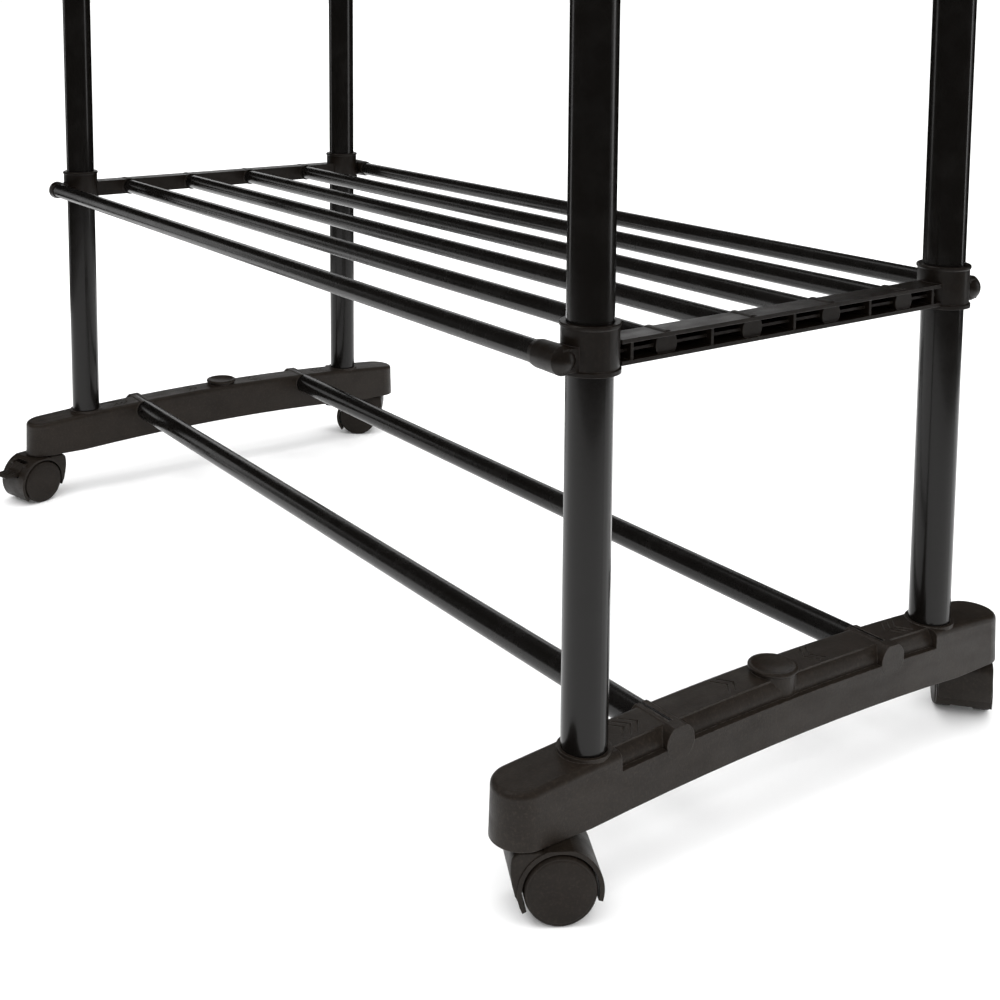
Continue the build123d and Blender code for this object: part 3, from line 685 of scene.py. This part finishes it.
@dataclass
class Rails:
    """The two hanging rails, their inner tubes, lock nuts and pull-out rods."""

    palette: Palette
    half_span: float = 364.6
    half_depth: float = 142.0
    rail_z: float = 1055.0
    tube_bore: float = 12.55
    inner_bore: float = 11.2
    nut_radius: float = 16.6
    nut_bottom: float = 893.0
    nut_top: float = 925.0
    nut_ledge: float = 905.3
    nut_ribs: int = 14
    facets_per_rib: int = 8
    rib_height: float = 1.0
    cap_radius: float = 13.0
    cap_bore: float = 9.55
    cap_face: float = 385.4
    tee_radius: float = 15.5
    post_radius: float = 14.5
    post_bottom: float = 1030.0
    tee_mouth: float = 334.6
    rail_radius: float = 12.5
    ring_clearance: float = 0.05
    ring_inset: float = 0.9
    screw_radius: float = 3.4
    screw_inset: float = 12.0
    screw_gap: float = 0.1

    def nut(self, side: str, end: str) -> None:
        """Build a lock nut with raised grip ribs and a coned top.

        Args:
            side: the side of the rack.
            end: the end of the foot.
        """
        low, top, radius = self.nut_bottom, self.nut_top, self.nut_radius
        shape = Shape()
        shape.turn(
            [
                (self.tube_bore, low),
                (radius - 1.3, low),
                (radius - 0.4, low + 0.7),
                (radius, low + 1.8),
                (radius, low + 3.0),
                (radius, low + 21.0),
                (radius, low + 22.2),
                (radius - 0.5, low + 23.4),
                (radius - 2.9, top - 1.2),
                (radius - 3.4, top - 0.3),
                (radius - 4.0, top),
                (self.inner_bore, top),
                (self.inner_bore, self.nut_ledge),
                (self.tube_bore, self.nut_ledge),
            ],
            closed=True,
            steps=self.nut_ribs * self.facets_per_rib,
        )
        ribs = shape.sector_faces((radius - 0.2, radius + 0.2), (low + 3.0, low + 21.0), self.nut_ribs, 0.5)
        shape.raise_faces(ribs, spread=(radius + self.rib_height) / radius)
        shape.soften(0.28, 40.0, 2)
        where = facing((SIDES[side] * self.half_span, ENDS[end] * self.half_depth, 0.0), (0.0, 0.0, 1.0))
        piece = shape.place(f"{side}_{end}_ribbed_nut", where, self.palette.get(Finish.FITTING))
        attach(piece, f"{side}_{end}_lock_nut")
        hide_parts(f"{side}_{end}_lock_nut")

    def pull_cap(self, side: str, end: str) -> None:
        """Turn the domed cap of a pull-out rod, with two finger grooves.

        Args:
            side: the side of the rack.
            end: the rail it belongs to.
        """
        radius = self.cap_radius
        dome = [
            (radius * math.cos(math.radians(a)), 9.0 + 6.0 * math.sin(math.radians(a)))
            for a in (12, 24, 36, 48, 60, 72, 81)
        ]
        shape = Shape()
        shape.turn(
            [
                (0.0, 3.3),
                (self.cap_bore, 3.3),
                (self.cap_bore, 0.0),
                (radius - 1.0, 0.0),
                (radius - 0.3, 0.3),
                (radius, 1.0),
                (radius, 2.5),
                (radius - 0.7, 3.1),
                (radius - 0.7, 3.9),
                (radius, 4.5),
                (radius, 5.5),
                (radius - 0.7, 6.1),
                (radius - 0.7, 6.9),
                (radius, 7.5),
                (radius, 9.0),
                *dome,
                (0.0, 15.0),
            ],
            closed=False,
            steps=72,
        )
        way = float(SIDES[side])
        where = facing((way * self.cap_face, ENDS[end] * self.half_depth, self.rail_z), (way, 0.0, 0.0))
        piece = shape.place(f"{side}_{end}_domed_cap", where, self.palette.get(Finish.FITTING), 50.0)
        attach(piece, f"{side}_{end}_pull_out")
        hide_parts(f"{side}_{end}_pull_cap")

    def tee_ring(self, name: str, inner: float, outer: float, where: Matrix, body: str) -> None:
        """Turn a rounded ring that finishes one mouth of a tee.

        Args:
            name: the piece's name.
            inner: its bore radius.
            outer: its greatest radius.
            where: its wide end, with local Z towards its narrow end.
            body: the rail body it goes with.
        """
        shape = Shape()
        shape.turn(
            [
                (inner, 0.0),
                (outer - 0.3, 0.0),
                (outer, 0.4),
                (outer, 1.8),
                (outer - 0.2, 2.5),
                (outer - 0.7, 3.0),
                (inner + 0.4, 3.2),
                (inner, 2.8),
            ],
            closed=True,
            steps=72,
        )
        piece = shape.place(name, where, self.palette.get(Finish.FITTING), 50.0)
        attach(piece, body)

    def tee_screw(self, name: str, where: Matrix, body: str) -> None:
        """Build the pan-head screw that holds the rail in a tee.

        Args:
            name: the piece's name.
            where: the tee's skin under the head, with local Z outwards.
            body: the rail body it goes with.
        """
        radius = self.screw_radius
        shape = Shape()
        shape.turn(
            [
                (0.0, -1.6),
                (radius * 0.5, -1.6),
                (radius * 0.5, -0.6),
                (radius, -0.6),
                (radius, 0.5),
                (radius * 0.9, 1.1),
                (radius * 0.68, 1.5),
                (0.0, 1.6),
            ],
            closed=False,
            steps=48,
        )
        crown = [f for f in shape.bm.faces if f.calc_center_median().z > 1.51]
        bmesh.ops.dissolve_faces(shape.bm, faces=crown)
        bmesh.ops.recalc_face_normals(shape.bm, faces=shape.bm.faces)
        shape.cut_cross(radius * 0.5, 0.8, 1.5, 0.7)
        piece = shape.place(name, where, self.palette.get(Finish.PLATED), 40.0)
        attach(piece, body)

    def tee_details(self, side: str, end: str) -> None:
        """Give a tee its mouth rings and its screw.

        Args:
            side: the side of the rack.
            end: the rail it belongs to.
        """
        way, y, body = float(SIDES[side]), ENDS[end] * self.half_depth, f"{end}_rail"
        mouth = facing((way * self.tee_mouth, y, self.rail_z), (-way, 0.0, 0.0))
        post = facing((way * self.half_span, y, self.post_bottom), (0.0, 0.0, -1.0))
        bore, mouth_rim = self.rail_radius + self.ring_clearance, self.tee_radius - self.ring_inset
        post_rim = self.post_radius - self.ring_inset
        self.tee_ring(f"{side}_{end}_tee_mouth_ring", bore, mouth_rim, mouth, body)
        self.tee_ring(f"{side}_{end}_tee_post_ring", self.inner_bore, post_rim, post, body)
        inward = -float(ENDS[end])
        skin_x = way * (self.tee_mouth + self.screw_inset)
        skin = (skin_x, y + inward * (self.tee_radius + self.screw_gap), self.rail_z)
        self.tee_screw(f"{side}_{end}_tee_screw", facing(skin, (0.0, inward, 0.0)), body)

    def build(self) -> None:
        """Dress the rails and build their fittings."""
        for end in ENDS:
            self.palette.dress(Finish.ROD, f"{end}_hanging_rail")
            for side in SIDES:
                key = f"{side}_{end}"
                self.palette.dress(Finish.UPRIGHT, f"{key}_inner_tube")
                self.palette.dress(Finish.ROD, f"{key}_pull_rod")
                self.palette.dress(Finish.FITTING, f"{key}_rail_tee")
                self.nut(side, end)
                self.pull_cap(side, end)
                self.tee_details(side, end)


@dataclass
class Casters:
    """The four twin-wheel casters."""

    palette: Palette
    half_span: float = 364.6
    stem_y: float = 181.0
    trail: float = 16.0
    wheel_radius: float = 19.0
    wheel_inner: float = 6.8
    wheel_width: float = 11.0
    bore: float = 2.05
    spokes: int = 8
    spoke_share: float = 0.17
    spoke_height: float = 1.9
    headings: dict[tuple[str, str], float] = field(
        default_factory=lambda: {
            ("left", "front"): -75.0,
            ("left", "rear"): -126.0,
            ("right", "front"): 61.5,
            ("right", "rear"): 132.0,
        }
    )
    shell_radius: float = 21.2
    shoulder_reach: float = 9.8
    shoulder_half_width: float = 16.4
    shoulder_round: float = 3.6
    cheek_hug_start: int = 110
    slot_hug_start: int = 164
    hug_end: int = 204
    hug_step: int = 6
    stem_slot: float = 4.3
    crown_front: float = 5.4
    hood_top: float = 40.3
    treadle_ribs: int = 4
    rib_size: tuple[float, float, float] = (0.9, 13.0, 1.1)
    rib_start: float = 46.0
    rib_pitch: float = 2.3
    treadle_tip: tuple[float, float] = (50.6, 30.6)
    treadle_heel: tuple[float, float] = (37.87, 31.12)

    def ground(self, side: str, end: str) -> Matrix:
        """The floor under a caster's stem, with local X along its trail, in metres."""
        turn = Matrix.Rotation(math.radians(self.headings[side, end]), 4, "Z")
        stem = Vector((SIDES[side] * self.half_span, ENDS[end] * self.stem_y, 0.0)) * MM
        return Matrix.Translation(stem) @ turn

    def wheel(self, side: str, end: str, which: str, way: float) -> None:
        """Build one wheel: a parted tread, a rolled rim, a crowned disc and a spoked back.

        Args:
            side: the side of the rack.
            end: the end of the foot.
            which: near or far.
            way: the sign of its side along the axle.
        """
        radius, width = self.wheel_radius, self.wheel_width
        shape = Shape()
        shape.turn(
            [
                (0.0, width - 1.6),
                (self.bore, width - 1.6),
                (self.bore, 0.0),
                (5.6, 0.0),
                (6.0, 0.4),
                (6.0, 2.6),
                (14.6, 2.6),
                (15.4, 2.2),
                (15.7, 0.2),
                (16.0, 0.0),
                (radius - 1.0, 0.0),
                (radius - 0.3, 0.25),
                (radius, 0.9),
                (radius, 4.9),
                (radius - 0.22, 5.15),
                (radius - 0.22, 5.55),
                (radius, 5.8),
                (radius, width - 2.2),
                (radius - 0.25, width - 1.2),
                (radius - 0.9, width - 0.4),
                (radius - 1.3, width - 0.2),
                (radius - 1.6, width - 0.32),
                (radius - 1.9, width - 0.3),
                (radius - 2.2, width - 0.1),
                (radius - 2.9, width),
                (11.0, width - 0.03),
                (5.0, width - 0.12),
                (0.0, width - 0.16),
            ],
            closed=False,
            steps=96,
        )
        spokes = shape.sector_faces((6.2, 14.5), (2.5, 2.7), self.spokes, self.spoke_share)
        shape.raise_faces(spokes, lift=-self.spoke_height)
        middle = Matrix.Translation(Vector((self.trail, way * self.wheel_inner, self.wheel_radius)) * MM)
        outward = Vector((0.0, way, 0.0)).to_track_quat("Z", "Y").to_matrix().to_4x4()
        where = self.ground(side, end) @ middle @ outward
        name = f"{side}_{end}_{which}_rimmed_wheel"
        piece = shape.place(name, where, self.palette.get(Finish.WHEEL), 40.0)
        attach(piece, f"{side}_{end}_{which}_wheel")
        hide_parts(f"{side}_{end}_{which}_wheel")

    def shoulder_slab(self, shape: Shape, low: float, high: float, hug_start: int) -> None:
        """Add one closed slab of the shoulder, between two distances along the axle.

        Args:
            shape: the mesh it joins.
            low: where it starts along the axle.
            high: where it ends.
            hug_start: where the arc that hugs the shell starts, in degrees above the trail.
        """
        inner = [
            (
                self.trail + self.shell_radius * math.cos(math.radians(angle)),
                self.wheel_radius + self.shell_radius * math.sin(math.radians(angle)),
            )
            for angle in range(hug_start, self.hug_end, self.hug_step)
        ]
        crown, back = self.hood_top, -self.shoulder_reach
        outer = [
            (back + 5.0, 11.6),
            (back + 2.4, 17.0),
            (back + 0.9, 23.0),
            (back, 29.0),
            (back, 33.5),
            (back + 0.6, 37.0),
            (back + 2.0, crown - 1.2),
            (back + 4.2, crown),
            (min(self.crown_front, inner[0][0]), crown),
        ]
        rim = [shape.bm.verts.new((x, low, z)) for x, z in inner + outer]
        swept = bmesh.ops.extrude_face_region(shape.bm, geom=[shape.bm.faces.new(rim)])
        moved = [v for v in swept["geom"] if isinstance(v, bmesh.types.BMVert)]
        bmesh.ops.translate(shape.bm, vec=(0.0, high - low, 0.0), verts=moved)

    def shoulder(self, side: str, end: str) -> None:
        """Build the rounded housing on a hood's back, slotted round its stem.

        Args:
            side: the side of the rack.
            end: the end of the foot.
        """
        shape = Shape()
        half, slot = self.shoulder_half_width, self.stem_slot
        self.shoulder_slab(shape, -half, -slot, self.cheek_hug_start)
        self.shoulder_slab(shape, -slot, slot, self.slot_hug_start)
        self.shoulder_slab(shape, slot, half, self.cheek_hug_start)
        bmesh.ops.recalc_face_normals(shape.bm, faces=shape.bm.faces)
        outline = [
            e
            for e in shape.bm.edges
            if all(abs(v.co.y) > half - 0.01 for v in e.verts) and self.off_shell(e)
        ]
        bmesh.ops.bevel(
            shape.bm,
            geom=outline,
            offset=self.shoulder_round,
            offset_type="OFFSET",
            affect="EDGES",
            segments=5,
            profile=0.5,
            clamp_overlap=True,
            material=-1,
        )
        piece = shape.place(
            f"{side}_{end}_hood_shoulder", self.ground(side, end), self.palette.get(Finish.CASTER), 60.0
        )
        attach(piece, f"{side}_{end}_caster")

    def off_shell(self, edge: bmesh.types.BMEdge) -> bool:
        """Whether an edge lies clear of the arc that hugs the hood's shell."""
        axle = Vector((self.trail, self.wheel_radius))
        reach = self.shell_radius + 0.1
        return any((Vector((v.co.x, v.co.z)) - axle).length > reach for v in edge.verts)

    def treadle_grip(self, side: str, end: str) -> None:
        """Add the ribs that a shoe presses on a brake lever.

        Args:
            side: the side of the rack.
            end: the end of the foot.
        """
        shape = Shape()
        for rib in range(self.treadle_ribs):
            along = self.rib_start - self.rib_pitch * rib
            shape.block(self.rib_size, (along, 0.0, self.treadle_height(along)))
        shape.soften(0.25, 40.0, 2)
        where = self.ground(side, end)
        piece = shape.place(f"{side}_{end}_treadle_grip", where, self.palette.get(Finish.CASTER))
        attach(piece, f"{side}_{end}_brake")

    def treadle_height(self, along: float) -> float:
        """The height of the lever's upper face at a distance along the trail."""
        low, high = Vector(self.treadle_tip), Vector(self.treadle_heel)
        return low.y + (high.y - low.y) * (along - low.x) / (high.x - low.x)

    def build(self) -> None:
        """Dress the casters and build their wheels."""
        self.palette.dress(Finish.PLATED, "caster_stems")
        for side in SIDES:
            for end in ENDS:
                key = f"{side}_{end}"
                self.palette.dress(Finish.PLATED, f"{key}_caster_axle")
                self.palette.dress(Finish.CASTER, f"{key}_caster_hood")
                self.shoulder(side, end)
                self.wheel(side, end, "near", 1.0)
                self.wheel(side, end, "far", -1.0)
                if f"{key}_brake_lever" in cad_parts:
                    self.palette.dress(Finish.CASTER, f"{key}_brake_lever")
                    self.treadle_grip(side, end)


# ---- stage ----------------------------------------------------------------------------
@dataclass(frozen=True)
class SoftBox:
    """One rectangular lamp: its place, the point it faces, its size and its watts."""

    name: str
    place: tuple[float, float, float]
    aim: tuple[float, float, float]
    size: tuple[float, float]
    power: float


@dataclass
class Studio:
    """A pale floor, soft lights and the camera."""

    eye: tuple[float, float, float] = (0.9072, -0.6087, 0.4698)
    yaw: float = 147.157
    pitch: float = -6.18
    lens: float = 51.155
    shift: tuple[float, float] = (0.102, -0.353)
    sensor: float = 36.0
    near_floor: float = 1.15
    surround_scale: float = 60.0
    floor_steps: int = 96
    fill: float = 1.04
    sun_power: float = 1.5
    sun_heading: tuple[float, float, float] = (-0.55, 0.10, -0.83)
    sun_spread: float = 75.0
    soft_boxes: tuple[SoftBox, ...] = (
        SoftBox("left_soft_box", (-2.6, -1.3, 0.45), (0.0, 0.0, 0.4), (0.5, 1.5), 4.0),
        SoftBox("right_soft_box", (1.6, 2.3, 0.45), (0.2, 0.0, 0.4), (0.5, 1.3), 7.0),
        SoftBox("back_soft_box", (-2.9, 1.9, 1.25), (0.0, 0.0, 0.25), (2.4, 1.0), 10.0),
        SoftBox("top_soft_box", (-0.3, 0.5, 2.4), (0.0, 0.0, 0.3), (2.4, 1.1), 14.0),
        SoftBox("key_lamp", (-0.2, -1.3, 2.1), (0.2, -0.1, 0.1), (0.8, 0.8), 9.0),
    )

    def floor_piece(self, name: str, bm: bmesh.types.BMesh, in_reflections: bool) -> None:
        """Make one piece of the pale floor.

        Args:
            name: the piece's name.
            bm: its mesh, which is freed here.
            in_reflections: whether glossy surfaces mirror it.
        """
        mesh = bpy.data.meshes.new(name)
        bm.to_mesh(mesh)
        bm.free()
        mesh.materials.append(self.floor_paint())
        floor = bpy.data.objects.new(name, mesh)
        floor.visible_glossy = in_reflections
        bpy.context.scene.collection.objects.link(floor)

    def floor_paint(self) -> bpy.types.Material:
        """The floor's matt white, shared by its pieces."""
        made = bpy.data.materials.get("studio_white")
        if made:
            return made
        g = Graph("studio_white")
        g.shader.inputs["Roughness"].default_value = 0.9
        g.shader.inputs["Specular IOR Level"].default_value = 0.05
        g.link(
            g.blend(g.noise(0.4, 2.0), (0.93, 0.93, 0.93), (0.95, 0.95, 0.95)),
            g.shader.inputs["Base Color"],
        )
        return g.material

    def floor(self) -> None:
        """Lay a round floor under the rack and a wide one round it, edge to edge."""
        disc = bmesh.new()
        bmesh.ops.create_circle(disc, cap_ends=True, segments=self.floor_steps, radius=self.near_floor)
        self.floor_piece("floor", disc, True)
        ring = bmesh.new()
        bmesh.ops.create_circle(ring, segments=self.floor_steps, radius=self.near_floor)
        rim = list(ring.edges)
        outer = bmesh.ops.extrude_edge_only(ring, edges=rim)
        moved = [v for v in outer["geom"] if isinstance(v, bmesh.types.BMVert)]
        wide = Vector((self.surround_scale, self.surround_scale, 1.0))
        bmesh.ops.scale(ring, vec=wide, verts=moved)
        bmesh.ops.recalc_face_normals(ring, faces=ring.faces)
        if next(iter(ring.faces)).normal.z < 0:
            bmesh.ops.reverse_faces(ring, faces=ring.faces)
        self.floor_piece("floor_surround", ring, False)

    def world(self) -> None:
        """Fill the surroundings with an even white that glossy surfaces don't mirror."""
        world = bpy.data.worlds.new("studio")
        bpy.context.scene.world = world
        world.use_nodes = True
        sky = world.node_tree.nodes["Background"]
        sky.inputs["Color"].default_value = (1.0, 1.0, 1.0, 1.0)
        sky.inputs["Strength"].default_value = self.fill
        world.cycles_visibility.glossy = False

    def sun(self) -> None:
        """Light the whole floor evenly with a very broad sun."""
        data = bpy.data.lights.new("broad_sun", "SUN")
        data.energy = self.sun_power
        data.angle = math.radians(self.sun_spread)
        sun = bpy.data.objects.new("broad_sun", data)
        sun.rotation_mode = "QUATERNION"
        sun.rotation_quaternion = Vector(self.sun_heading).to_track_quat("-Z", "Y")
        sun.visible_glossy = False
        bpy.context.scene.collection.objects.link(sun)

    def lamp(self, box: SoftBox) -> None:
        """Hang a rectangular soft box.

        Args:
            box: its place, aim, size and power.
        """
        data = bpy.data.lights.new(box.name, "AREA")
        data.shape = "RECTANGLE"
        data.size, data.size_y = box.size
        data.energy = box.power
        lamp = bpy.data.objects.new(box.name, data)
        lamp.location = box.place
        towards = Vector(box.aim) - Vector(box.place)
        lamp.rotation_mode = "QUATERNION"
        lamp.rotation_quaternion = towards.to_track_quat("-Z", "Y")
        lamp.visible_camera = False
        bpy.context.scene.collection.objects.link(lamp)

    def camera(self) -> None:
        """Set up the camera."""
        data = bpy.data.cameras.new("camera")
        data.lens = self.lens
        data.sensor_width = self.sensor
        data.shift_x, data.shift_y = self.shift
        data.clip_start = 0.02
        data.clip_end = 100.0
        camera = bpy.data.objects.new("camera", data)
        camera.location = self.eye
        yaw, pitch = math.radians(self.yaw), math.radians(self.pitch)
        forward = Vector(
            (math.cos(yaw) * math.cos(pitch), math.sin(yaw) * math.cos(pitch), math.sin(pitch))
        )
        camera.rotation_mode = "QUATERNION"
        camera.rotation_quaternion = forward.to_track_quat("-Z", "Y")
        bpy.context.scene.collection.objects.link(camera)
        bpy.context.scene.camera = camera

    def build(self) -> None:
        """Set the whole stage."""
        self.floor()
        self.world()
        self.sun()
        for box in self.soft_boxes:
            self.lamp(box)
        self.camera()
        bpy.context.scene.view_settings.view_transform = "Standard"


def main() -> None:
    """Build the rack's looks in order."""
    logging.basicConfig(level=logging.INFO, format="%(name)s: %(message)s")
    Studio().build()
    palette = Palette()
    for part in (Base(palette), Uprights(palette), Shelf(palette), Rails(palette), Casters(palette)):
        part.build()
        log.info("%s done", type(part).__name__)


if __name__ == "__main__":
    main()
